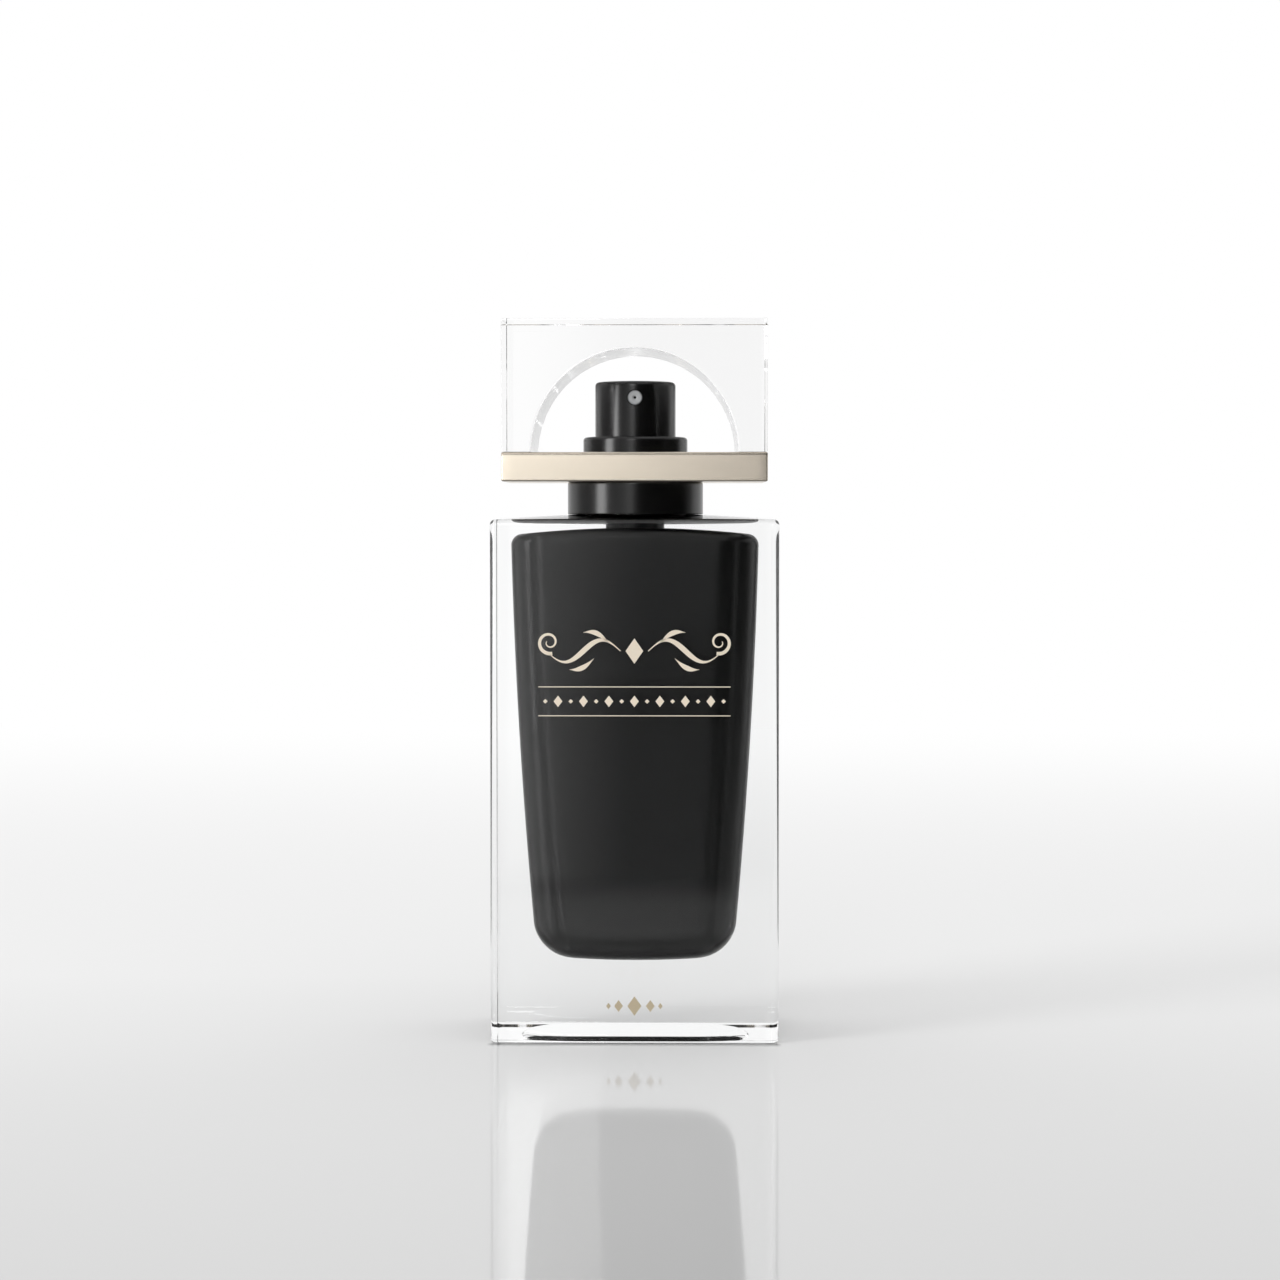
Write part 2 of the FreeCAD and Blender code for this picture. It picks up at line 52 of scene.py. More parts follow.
# Glass bottle
GLASS = (25.0, 13.5)  # half width, half depth
GLASS_CORNER = 1.2
SHOULDER, CROWN = 90.9, 1.1  # height of the shoulder's edge, and its rise to the middle
SHOULDER_ROUND, BASE_ROUND = 0.9, 0.75
WALL_HEIGHTS = (89.5, 85, 75, 65, 55, 45, 35, 25, 15, 8, 3, 1.3)
PUNT = (20.0, 11.0)  # half width and half depth of the hollow under the foot
PUNT_CORNER, PUNT_HEIGHT, PUNT_COVE = 9.81, 0.9, 3.0
NECK, BEAD, BORE = 6.5, 7.5, 5.1  # radii
NECK_FOOT, BEAD_SLOPE, BEAD_EDGE, NECK_TOP = 92.2, 94.2, 95.2, 97.6  # heights
BORE_HEIGHTS = (90.0, 93.0, 97.0)
LIP_ROUND = 0.5

# Reservoir: half width and half depth at three heights, and its floor and ceiling
TUB_X = ((14.5, 17.25), (51.325, 20.1), (88.15, 21.6))
TUB_Y = ((13.6, 9.0), (52.8, 10.4), (92.0, 11.2))
TUB_FLOOR, TUB_FLOOR_RISE = 13.6, 0.9
TUB_CEILING, TUB_CEILING_DROP = 89.4, 1.25
TUB_CORNER, TUB_FLOOR_ROUND, TUB_CEILING_ROUND = 7.0, 5.7, 1.8
LACQUER = 0.15
LACQUER_GRIP = 0.03  # how far the lacquer is sunk into the glass, so that no film of air is left

# Collar, button and nozzle: radii, heights and walls
COLLAR, SLEEVE, MOUTH = 11.95, 9.2, 7.35
COLLAR_BOTTOM, STEP, SLEEVE_TOP = 91.82, 97.47, 105.37
COLLAR_WALL, MOUTH_WALL = 0.5, 0.7
BUTTON = 7.1
BUTTON_BOTTOM, BUTTON_TOP = 103.8, 115.05
BUTTON_WALL, BUTTON_ROUND = 0.4, 0.7
NOZZLE_HEIGHT, NOZZLE_HOLE, NOZZLE = 112.15, 1.38, 1.25
NOZZLE_FACE, NOZZLE_BACK = 6.8, 4.4  # how far they lie from the button's axis
NOZZLE_WALL, NOZZLE_BORE = 0.6, 0.975
ORIFICE, ORIFICE_MOUTH, ORIFICE_DEPTH = 0.25, 0.50, 0.12

# Cap
CAP = (23.0, 13.0)  # half width, half depth
PLATE_TOP, BLOCK_TOP = 102.52, 125.52
PLATE_ROUND, BLOCK_ROUND = 0.3, 0.15
BLOCK_GAP = 0.04  # the block stands this far off the plate, so that light passes between them
ARCH, ARCH_ROUND = 17.85, 0.3
ARCH_SPECKLE = (ARCH + 0.02, ARCH + 0.12)  # the speckle on the arch's wall fades out here
CAP_BORE, LINER_SEAT, LINER_TOP = 9.25, 10.77, 101.59
# Painted shade on the plate: dark lines along its upper and lower edges that stand in for dark reflections
# and shade there, as heights where each starts, is full, fades and ends
UPPER_SHADE_LINE = (PLATE_TOP - 0.6, PLATE_TOP - 0.4, PLATE_TOP - 0.12, PLATE_TOP - 0.06)
LOWER_SHADE_LINE = (STEP, STEP + 0.02, STEP + 0.08, STEP + 0.3)

# Print on the front of the glass
FRONT_INK, BACK_INK = -GLASS[1] - 0.012, -GLASS[1] + 0.01
ORNAMENT_HEIGHT = 68.2
RULES, RULE_HALF, RULE_WIDTH = (62.0, 57.0), 16.6, 0.16
ROW_HEIGHT, ROW_PITCH, ROW_HALF = 59.5, 2.2, 7  # ROW_HALF diamonds lie on each side of the middle one
ROW_BIG, ROW_SMALL = (0.75, 1.0), (0.4, 0.4)  # half width, half height
LOW_ROW_HEIGHT = 6.55
LOW_ROW = ((0, 1.2, 1.7), (2.75, 0.75, 1.05), (4.5, 0.4, 0.55))  # x, half width, half height
TAN_INK, PALE_INK = 20.0, 30.0  # the ink is tan up to the first height, and pale from the second

# Meshes
CORNER_STEPS, SIDE_STEPS = 17, 30
TURN_STEPS, NOZZLE_STEPS, BUTTON_STEPS = 192, 96, 240
FLAT = 0.05  # a ring this close to a rounding keeps the face beside it flat
TURNED_FLAT = 0.04  # the same in a turned outline
SHARP = math.radians(38)  # edges that turn more than this are shaded as edges

# Table, in metres. A ramp is its start and end, and the values there if they aren't 0 and 1.
TABLE_HALF, TABLE_DROP = 6.0, 0.00005
# Painted shade: the table's colour is darker towards the front and lighter towards the back
TABLE_SHADE_RAMP = (-0.2, 0.06, 0.615, 0.885)
TABLE_GLOSS, TABLE_ROUGHNESS = 0.235, 0.06
WHITE_BEHIND, WHITE_IN_FRONT, WHITE_BESIDE = (0.03, 0.75), (0.25, 0.8), (0.3, 0.9)
DARK_RIGHT = (0.2, 0.5, 1, 0.05)
CARD_EDGE = (-0.26, -0.19)
CARD_MIDDLE = 0.37  # the card's bright and dark parts are told apart by direction from this y
# A painted contact shadow: a dark line on the table just in front of the foot
CONTACT_SHADOW_LINE = (-0.0165, -0.0136, -0.0136, -0.0130)  # where it starts, is full, fades and ends
CONTACT_ENDS, CONTACT_SHADE = (0.0245, 0.0258, 1, 0), 0.7
# A painted shadow: a dark patch without gloss on the table under the punt
PUNT_SHADE_X, PUNT_SHADE_Y, PUNT_SHADOW_GREY = (0.0185, 0.0195, 1, 0), (0.0098, 0.0105, 1, 0), 0.01

# Room: ramps over the parts of a direction, and levels of white
ROOM_SPLIT = (-0.06, -0.005, 0.9, 0.01)  # from the bright left to the dark right; the card has it too
ROOM_LEFT = (-0.6, -0.12, 0.3, 1)
ROOM_BACK, ROOM_BACK_LEVEL = (0.28, 0.5), 0.85
ROOM_AHEAD = (0.85, 0.95)  # white straight behind the object
ROOM_TOP, ROOM_TOP_LEVEL = (0.15, 0.75), 0.9
CLEAR_SIGHT = (0.45, 0.75)  # plain white through clear pieces, forwards and backwards

# Lamps: place, aim, width and height in metres, and power in watts
LAMPS = {
    "soft_box": ((-1.25, -0.75, 0.35), (0, 0, 0.06), 0.45, 1.1, 12.0),
    "key_panel": ((-0.12, -1.0, 0.32), (0, 0, 0.1), 0.18, 0.22, 0.75),
}

# Camera: place in millimetres, downward pitch and leftward yaw in degrees, lens and sensor in millimetres
CAMERA_PLACE = (7.0, -508.5, 90.8)
CAMERA_PITCH, CAMERA_YAW = 2.393, 0.698
CAMERA_LENS, CAMERA_SENSOR = 80.75, 36.0
CAMERA_CLIP = (0.01, 50.0)  # metres


class Tone:
    """A shader socket that adds, subtracts, multiplies and divides like a number."""

    def __init__(self, tree, socket):
        self.tree = tree
        self.socket = socket

    def node(self, kind, output=0, inputs=None, **settings):
        """The output of a new node; `inputs` maps names or places of its sockets to tones or constants."""
        made = self.tree.nodes.new(kind)
        for name, value in settings.items():
            setattr(made, name, value)
        for place, value in (inputs or {}).items():
            if isinstance(value, Tone):
                self.tree.links.new(value.socket, made.inputs[place])
            else:
                made.inputs[place].default_value = value
        return Tone(self.tree, made.outputs[output])

    def math(self, operation, first, second=0.0):
        """A Math node on tones or numbers."""
        return self.node("ShaderNodeMath", inputs={0: first, 1: second}, operation=operation)

    def __add__(self, other):
        return self.math("ADD", self, other)

    __radd__ = __add__

    def __sub__(self, other):
        return self.math("SUBTRACT", self, other)

    def __rsub__(self, other):
        return self.math("SUBTRACT", other, self)

    def __mul__(self, other):
        return self.math("MULTIPLY", self, other)

    __rmul__ = __mul__

    def __truediv__(self, other):
        return self.math("DIVIDE", self, other)

    def __rtruediv__(self, other):
        return self.math("DIVIDE", other, self)

    def __pow__(self, other):
        return self.math("POWER", self, other)

    def __neg__(self):
        return self.math("SUBTRACT", 0.0, self)

    def __abs__(self):
        return self.math("ABSOLUTE", self)

    def or_more(self, other):
        """The larger of two values."""
        return self.math("MAXIMUM", self, other)

    def towards(self, value, share):
        """This value moved towards another by a share of the way."""
        return self + share * (value - self)

    def ramp(self, start, end, low=0.0, high=1.0, kind="SMOOTHSTEP"):
        """A step, smooth unless `kind` says otherwise: `low` up to start, `high` from end."""
        return self.node(
            "ShaderNodeMapRange",
            inputs={"Value": self, "From Min": start, "From Max": end, "To Min": low, "To Max": high},
            interpolation_type=kind,
        )

    def band(self, start, full, fade, end):
        """1 from `full` to `fade`, falling to 0 at start and end."""
        return self.ramp(start, full) * self.ramp(fade, end, 1, 0)

    def axes(self):
        """The three parts of a vector."""
        split = self.node("ShaderNodeSeparateXYZ", inputs={0: self})
        outputs = split.socket.node.outputs
        return [Tone(self.tree, outputs[place]) for place in range(3)]

    def stretched(self, x, y, z):
        """This vector with its three parts multiplied."""
        return self.node("ShaderNodeVectorMath", inputs={0: self, 1: (x, y, z)}, operation="MULTIPLY")

    def noise(self, scale, detail=2.0):
        """Smooth noise from 0 to 1 over this vector; scale is in features to the metre."""
        return self.node("ShaderNodeTexNoise", inputs={"Vector": self, "Scale": scale, "Detail": detail})

    def blend(self, first, second):
        """The colour between two colours that this factor picks."""
        return self.node("ShaderNodeMix", output=2, inputs={0: self, 6: first, 7: second}, data_type="RGBA")

    def bump(self, strength, distance):
        """A normal bent by this height."""
        return self.node(
            "ShaderNodeBump", inputs={"Height": self, "Strength": strength, "Distance": distance}
        )

    def even(self):
        """The grey of this level."""
        return self.node("ShaderNodeCombineColor", inputs={0: self, 1: self, 2: self})


def grey(value):
    """A colour of three equal parts."""
    return (value, value, value, 1.0)


def finish_of(name, paint, **constants):
    """A material: constants go to sockets of the surface shader, and `paint` gives the sockets that vary from
    the object's own coordinates."""
    made = bpy.data.materials.new(name)
    made.use_nodes = True
    tree = made.node_tree
    shader = tree.nodes["Principled BSDF"]
    for socket, value in constants.items():
        shader.inputs[socket.replace("_", " ")].default_value = value
    coordinates = tree.nodes.new("ShaderNodeTexCoord")
    for socket, tone in paint(Tone(tree, coordinates.outputs["Object"])).items():
        tree.links.new(tone.socket, shader.inputs[socket])
    return made


def clear_glass(place):
    """Clear, with a trace of tint that comes and goes."""
    return {"Base Color": place.noise(40).blend((0.985, 0.99, 0.99, 1), (0.995, 0.998, 0.998, 1))}


def black_lacquer(place):
    """Deep black with a fine grain, and a gloss that clouds slowly."""
    grain = place.noise(5200, 3)
    cloud = place.noise(90)
    return {
        "Base Color": grain.blend(grey(0.001), grey(0.003)),
        "Roughness": 0.28 + 0.05 * cloud + 0.04 * grain,
        "Normal": grain.bump(0.003, 1e-5),
    }


def black_metal(place):
    """Glossy black with faint upright drawing marks."""
    drawn = place.stretched(1, 1, 0.04).noise(3800, 3)
    return {
        "Base Color": drawn.blend(grey(0.002), grey(0.005)),
        "Roughness": 0.21 + 0.03 * drawn,
        "Normal": place.noise(2600, 2).bump(0.03, 1e-5),
    }


def black_plastic(place):
    """Dull black with a grain."""
    grain = place.noise(3000)
    return {"Base Color": grain.blend(grey(0.006), grey(0.012)), "Roughness": 0.38 + 0.12 * grain}


def champagne_metal(place):
    """Fine brushing along the plate, with painted shade: a dark line inside its upper edge and a dull dark
    one round its lower edge, in place of dark reflections and shade.
    """
    height = place.axes()[2]
    brushed = place.stretched(0.02, 1, 1).noise(6000, 3)
    # Painted shade: bands along the upper and lower edges that darken the colour, and make the lower edge
    # dull, in place of dark reflections and shade
    upper, lower = (height.band(*(limit * MM for limit in line)) for line in (UPPER_SHADE_LINE, LOWER_SHADE_LINE))
    plain = brushed.blend((0.91, 0.81, 0.67, 1), (0.98, 0.88, 0.74, 1))
    return {
        "Base Color": (0.62 * upper + 0.97 * lower).blend(plain, (0.06, 0.05, 0.04, 1)),
        "Roughness": 0.20 + 0.08 * brushed + 0.6 * lower,
        "Metallic": 0.75 * (1 - lower),
        "Normal": brushed.bump(0.04, 1e-5),
    }


def champagne_ink(place):
    """A grainy ink, tan near the foot and pale above."""
    height = place.axes()[2]
    grain = place.noise(9000)
    tan = grain.blend((0.50, 0.42, 0.29, 1), (0.58, 0.49, 0.34, 1))
    pale = grain.blend((0.86, 0.76, 0.61, 1), (0.95, 0.85, 0.70, 1))
    return {
        "Base Color": height.ramp(TAN_INK * MM, PALE_INK * MM).blend(tan, pale),
        "Roughness": 0.34 + 0.16 * grain,
    }


def clear_acrylic(place):
    """Clear, with a fine speckle on the wall of the arch, within a distance of its axis."""
    x, _, z = place.axes()
    height = z - PLATE_TOP * MM
    reach = (x * x + height * height) ** 0.5
    wall = reach.ramp(ARCH_SPECKLE[0] * MM, ARCH_SPECKLE[1] * MM, 1, 0)
    speckle = place.noise(3600, 3)
    return {
        "Base Color": speckle.blend((0.985, 0.985, 0.985, 1), (0.995, 0.995, 0.995, 1)),
        "Roughness": wall * (0.02 + 0.12 * speckle),
        "Normal": (speckle * wall).bump(0.15, 4e-5),
    }


def natural_plastic(place):
    """Milky moulding."""
    cloud = place.noise(500)
    return {"Base Color": cloud.blend(grey(0.70), grey(0.78)), "Roughness": 0.40 + 0.15 * cloud}


def grey_plastic(place):
    """Light grey moulding with a grain."""
    grain = place.noise(4200)
    return {
        "Base Color": grain.blend((0.40, 0.41, 0.42, 1), (0.50, 0.51, 0.52, 1)),
        "Roughness": 0.30 + 0.15 * grain,
    }


def soft_seal(place):
    """Dull pale rubber."""
    cloud = place.noise(1500)
    return {"Base Color": cloud.blend(grey(0.50), grey(0.62)), "Roughness": 0.6 + 0.2 * cloud}


def bare_aluminium(place):
    """Bright metal with upright drawing marks."""
    drawn = place.stretched(1, 1, 0.05).noise(3000)
    return {"Base Color": drawn.blend(grey(0.72), grey(0.84)), "Roughness": 0.25 + 0.15 * drawn}


def polished_steel(place):
    """Smooth bright steel."""
    cloud = place.noise(800)
    return {"Base Color": cloud.blend(grey(0.60), grey(0.68)), "Roughness": 0.10 + 0.08 * cloud}


def spring_steel(place):
    """Greyer steel with a drawn grain."""
    drawn = place.noise(2500)
    return {"Base Color": drawn.blend(grey(0.48), grey(0.60)), "Roughness": 0.22 + 0.14 * drawn}


def clear_tube(place):
    """Slightly cloudy clear tube."""
    cloud = place.noise(600)
    return {"Base Color": cloud.blend(grey(0.90), grey(0.96)), "Roughness": 0.12 + 0.1 * cloud}


finishes = {
    "clear_glass": finish_of("clear_glass", clear_glass, Transmission_Weight=1.0, IOR=1.5, Roughness=0.0),
    "black_lacquer": finish_of("black_lacquer", black_lacquer, Specular_IOR_Level=0.4),
    "black_metal": finish_of("black_metal", black_metal),
    "black_plastic": finish_of("black_plastic", black_plastic),
    "champagne_metal": finish_of("champagne_metal", champagne_metal),
    "champagne_ink": finish_of("champagne_ink", champagne_ink, Metallic=0.1),
    "clear_acrylic": finish_of("clear_acrylic", clear_acrylic, Transmission_Weight=1.0, IOR=1.49),
    "natural_plastic": finish_of("natural_plastic", natural_plastic),
    "grey_plastic": finish_of("grey_plastic", grey_plastic),
    "soft_seal": finish_of("soft_seal", soft_seal),
    "bare_aluminium": finish_of("bare_aluminium", bare_aluminium, Metallic=1.0),
    "polished_steel": finish_of("polished_steel", polished_steel, Metallic=1.0),
    "spring_steel": finish_of("spring_steel", spring_steel, Metallic=1.0),
    "clear_tube": finish_of("clear_tube", clear_tube, Transmission_Weight=0.9, IOR=1.5),
}


def grid_faces(rows, columns, close_rows=False):
    """Quads between neighbours of a grid whose columns go right round; its rows may too."""
    last = rows if close_rows else rows - 1
    row, column = np.meshgrid(np.arange(last), np.arange(columns), indexing="ij")
    next_row = (row + 1) % rows
    next_column = (column + 1) % columns
    corners = (
        row * columns + column,
        row * columns + next_column,
        next_row * columns + next_column,
        next_row * columns + column,
    )
    return np.stack(corners, axis=-1).reshape(-1, 4).tolist()


def fan_faces(first, count, pole):
    """Triangles from a ring of points to one point."""
    return [[first + step, first + (step + 1) % count, pole] for step in range(count)]


def signed_volume(points, faces):
    """Sum of the tetrahedra from the origin to every triangle: positive if the faces look outwards."""
    triangles = np.array(
        [[face[0], face[step], face[step + 1]] for face in faces for step in range(1, len(face) - 1)]
    )
    a, b, c = (points[triangles[:, corner]] for corner in range(3))
    return float(np.einsum("ij,ij->i", a, np.cross(b, c)).sum())


def piece(name, points, faces, slot, body, replaces=(), finish=None):
    """A new piece of the object from points in millimetres, with faces looking outwards and smooth shading
    broken at sharp edges."""
    points = np.asarray(points, dtype=float)
    if signed_volume(points, faces) < 0:
        faces = [face[::-1] for face in faces]
    mesh = bpy.data.meshes.new(name)
    mesh.from_pydata((points * MM).tolist(), [], faces)
    mesh.polygons.foreach_set("use_smooth", np.ones(len(faces), dtype=bool))
    mesh.set_sharp_from_angle(angle=SHARP)
    mesh.materials.append(finishes[finish or slot])
    mesh.update()
    made = bpy.data.objects.new(name, mesh)
    scene.collection.objects.link(made)
    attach(made, body)
    if replaces:
        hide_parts(*replaces)
    return made


def rings_piece(name, rings, slot, body, replaces=(), close_rows=False, start_pole=None, end_pole=None):
    """A skin over a row of rings, closed by a point at either end or by joining its two end rings."""
    count = len(rings[0])
    points = list(np.concatenate(rings))
    faces = grid_faces(len(rings), count, close_rows)
    if start_pole is not None:
        points.append(np.array(start_pole))
        faces += [face[::-1] for face in fan_faces(0, count, len(points) - 1)]
    if end_pole is not None:
        points.append(np.array(end_pole))
        faces += fan_faces((len(rings) - 1) * count, count, len(points) - 1)
    return piece(name, np.array(points), faces, slot, body, replaces)


def rounded_ring(half_x, half_y, radius):
    """A rectangle with quarter-circle corners: equal steps round each corner and along each side."""
    quarter = np.linspace(0, math.pi / 2, CORNER_STEPS)
    corners = []
    for turn, (side_x, side_y) in enumerate(((1, 1), (-1, 1), (-1, -1), (1, -1))):
        angle = quarter + turn * math.pi / 2
        x = side_x * (half_x - radius) + radius * np.cos(angle)
        y = side_y * (half_y - radius) + radius * np.sin(angle)
        corners.append(np.stack([x, y], axis=1))
    share = np.linspace(0, 1, SIDE_STEPS + 2)[1:-1, None]
    parts = []
    for turn in range(4):
        start, end = corners[turn][-1], corners[(turn + 1) % 4][0]
        parts += [corners[turn], start + (end - start) * share]
    return np.concatenate(parts)


def round_ring(radius, like):
    """A circle whose points lie in the same directions as another ring's."""
    angle = np.arctan2(like[:, 1], like[:, 0])
    return radius * np.stack([np.cos(angle), np.sin(angle)], axis=1)


def lifted(ring, height):
    """A flat ring with a height, which may differ from point to point."""
    return np.column_stack([ring, np.broadcast_to(height, len(ring))])


def between(first, last, shares):
    """Rings on straight lines between two rings."""
    return [first + (last - first) * share for share in shares]


def parabola(marks, height):
    """The parabola through three (height, value) marks, and its slope."""
    curve = np.polyfit([mark[0] for mark in marks], [mark[1] for mark in marks], 2)
    return np.polyval(curve, height), np.polyval(np.polyder(curve), height)


def floor_at(x):
    """Height of the reservoir's floor: a parabola in x, lowest in the middle."""
    return TUB_FLOOR + TUB_FLOOR_RISE * (x / TUB_X[0][1]) ** 2


def ceiling_at(x):
    """Height of the reservoir's ceiling: a parabola in x, highest in the middle."""
    return TUB_CEILING - TUB_CEILING_DROP * (x / TUB_X[2][1]) ** 2


def reservoir_rings(grow):
    """The hollow of the bottle from its floor to its mouth, grown by a distance.

    Each ring is a rounded rectangle whose half sizes follow a parabola in height. The floor and the ceiling
    are parabolas in x, and join the walls by quarter circles, sheared to leave the wall at its own slope.
    """
    low = TUB_FLOOR + TUB_FLOOR_RISE + TUB_FLOOR_ROUND
    high = TUB_CEILING - TUB_CEILING_DROP - TUB_CEILING_ROUND

    def sizes(height):
        """Half sizes at a height, grown, and their slopes."""
        (half_x, slope_x), (half_y, slope_y) = parabola(TUB_X, height), parabola(TUB_Y, height)
        return half_x + grow, half_y + grow, slope_x, slope_y

    half_x, half_y, slope_x, slope_y = sizes(low)
    rings = []
    for angle in np.linspace(math.pi / 2, 0, 22)[:-1]:
        inset = TUB_FLOOR_ROUND * (1 - math.cos(angle))
        shear = TUB_FLOOR_ROUND * math.sin(angle)
        ring = rounded_ring(
            half_x - inset - slope_x * shear, half_y - inset - slope_y * shear, TUB_CORNER + grow - inset
        )
        rings.append(lifted(ring, floor_at(ring[:, 0]) - grow + TUB_FLOOR_ROUND - shear))
    floor_ring = rings[0][:, :2]
    inner = [floor_ring * share for share in (0.12, 0.3, 0.5, 0.7, 0.85, 0.95, 0.99)]
    rings = [lifted(ring, floor_at(ring[:, 0]) - grow) for ring in inner] + rings
    for share in np.linspace(0, 1, 40):
        half_x, half_y, slope_x, slope_y = sizes(low + (high - low) * share)
        ring = rounded_ring(half_x, half_y, TUB_CORNER + grow)
        foot = floor_at(ring[:, 0]) - grow + TUB_FLOOR_ROUND
        head = ceiling_at(ring[:, 0]) + grow - TUB_CEILING_ROUND
        rings.append(lifted(ring, foot + (head - foot) * share))
    for angle in np.linspace(0, math.pi / 2, 12)[1:]:
        inset = TUB_CEILING_ROUND * (1 - math.cos(angle))
        shear = TUB_CEILING_ROUND * math.sin(angle)
        ring = rounded_ring(
            half_x - inset + slope_x * shear, half_y - inset + slope_y * shear, TUB_CORNER + grow - inset
        )
        rings.append(lifted(ring, ceiling_at(ring[:, 0]) + grow - TUB_CEILING_ROUND + shear))
    edge = rings[-1][:, :2]
    mouth = round_ring(BORE + grow, edge)
    for ring in between(edge, mouth, (0.02, 0.15, 0.4, 0.65, 0.9, 0.99, 1.0)):
        rings.append(lifted(ring, ceiling_at(ring[:, 0]) + grow))
    for height in (*BORE_HEIGHTS, NECK_TOP - FLAT, NECK_TOP):
        rings.append(lifted(mouth, height))
    return rings


def shoulder_at(ring):
    """Height of the shoulder: its edge plus the crown times a parabola in x times one in y."""
    x, y = ring[:, 0], ring[:, 1]
    return SHOULDER + CROWN * (1 - (x / GLASS[0]) ** 2) * (1 - (y / GLASS[1]) ** 2)


def outer_rings():
    """The outside of the glass, from its lip down the neck, over the shoulder, down the walls and under the
    foot to the punt's ceiling.

    Circles round the neck turn into rounded rectangles over the shoulder. The lip, the shoulder's edge and
    the foot are quarter circles, and the punt's cove is the arc that rises from the ground to level.
    """
    edge_x, edge_y = GLASS[0] - SHOULDER_ROUND, GLASS[1] - SHOULDER_ROUND
    edge = rounded_ring(edge_x, edge_y, GLASS_CORNER - SHOULDER_ROUND)
    rings = []
    for radius in (BORE + FLAT, BEAD - LIP_ROUND - FLAT):
        rings.append(lifted(round_ring(radius, edge), NECK_TOP))
    for angle in np.linspace(0, math.pi / 2, 7):
        radius = BEAD - LIP_ROUND + LIP_ROUND * math.sin(angle)
        rings.append(lifted(round_ring(radius, edge), NECK_TOP - LIP_ROUND * (1 - math.cos(angle))))
    for radius, height in (
        (BEAD, BEAD_EDGE + FLAT),
        (BEAD, BEAD_EDGE),
        (NECK, BEAD_SLOPE),
        (NECK, BEAD_SLOPE - FLAT),
        (NECK, NECK_FOOT),
    ):
        rings.append(lifted(round_ring(radius, edge), height))
    neck = round_ring(NECK, edge)
    for ring in between(neck, edge, (0.0, 0.01, 0.1, 0.25, 0.4, 0.55, 0.7, 0.82, 0.92, 0.97, 0.995)):
        rings.append(lifted(ring, shoulder_at(ring)))
    for angle in np.linspace(0, math.pi / 2, 10):
        inset = SHOULDER_ROUND * (1 - math.sin(angle))
        ring = rounded_ring(GLASS[0] - inset, GLASS[1] - inset, GLASS_CORNER - inset)
        rings.append(lifted(ring, shoulder_at(ring) - SHOULDER_ROUND * (1 - math.cos(angle))))
    wall = rounded_ring(*GLASS, GLASS_CORNER)
    for height in (SHOULDER - SHOULDER_ROUND - FLAT, *WALL_HEIGHTS, BASE_ROUND + 2 * FLAT):
        rings.append(lifted(wall, height))
    for angle in np.linspace(0, math.pi / 2, 9):
        inset = BASE_ROUND * (1 - math.cos(angle))
        ring = rounded_ring(GLASS[0] - inset, GLASS[1] - inset, GLASS_CORNER - inset)
        rings.append(lifted(ring, BASE_ROUND * (1 - math.sin(angle))))
    foot = rounded_ring(GLASS[0] - BASE_ROUND, GLASS[1] - BASE_ROUND, GLASS_CORNER - BASE_ROUND)
    hollow = rounded_ring(*PUNT, PUNT_CORNER)
    for ring in between(foot, hollow, (0.03, 0.5, 0.97, 1.0)):
        rings.append(lifted(ring, 0.0))
    ground = math.asin((PUNT_COVE - PUNT_HEIGHT) / PUNT_COVE)
    for angle in np.linspace(ground, math.pi / 2, 12):
        inset = PUNT_COVE * (math.cos(ground) - math.cos(angle))
        ring = rounded_ring(PUNT[0] - inset, PUNT[1] - inset, PUNT_CORNER - inset)
        rings.append(lifted(ring, PUNT_HEIGHT - PUNT_COVE * (1 - math.sin(angle))))
    ceiling = rings[-1][:, :2]
    for share in (0.99, 0.9, 0.7, 0.4, 0.12):
        rings.append(lifted(ceiling * share, PUNT_HEIGHT))
    return rings


def lathe_rings(profile, steps=TURN_STEPS):
    """Rings of a turned piece from (radius, height) points."""
    angle = np.linspace(0, 2 * math.pi, steps, endpoint=False)
    return [
        np.column_stack([radius * np.cos(angle), radius * np.sin(angle), np.full(steps, height)])
        for radius, height in profile
    ]


def softened(corners):
    """A closed (radius, height) outline with some corners rounded: each corner is (radius, height, rounding).

    A rounded corner becomes an arc tangent to both its sides, with a point close outside each end to keep
    the flats flat.
    """
    outline = []
    for place, (x, y, rounding) in enumerate(corners):
        here = np.array([x, y])
        if not rounding:
            outline.append(here)
            continue
        before = np.array(corners[place - 1][:2]) - here
        after = np.array(corners[(place + 1) % len(corners)][:2]) - here
        before, after = before / np.linalg.norm(before), after / np.linalg.norm(after)
        half = math.acos(float(np.clip(before @ after, -1, 1))) / 2
        reach = rounding / math.tan(half)
        bisector = (before + after) / np.linalg.norm(before + after)
        middle = here + bisector * rounding / math.sin(half)
        start, end = here + before * reach, here + after * reach
        first = math.atan2(*(start - middle)[::-1])
        sweep = (math.atan2(*(end - middle)[::-1]) - first + math.pi) % (2 * math.pi) - math.pi
        outline.append(start + before * TURNED_FLAT)
        for angle in first + sweep * np.linspace(0, 1, 9):
            outline.append(middle + rounding * np.array([math.cos(angle), math.sin(angle)]))
        outline.append(end + after * TURNED_FLAT)
    return outline


def turned_piece(name, corners, slot, body, replaces):
    """A piece turned about Z from a closed outline."""
    return rings_piece(name, lathe_rings(softened(corners)), slot, body, replaces, close_rows=True)


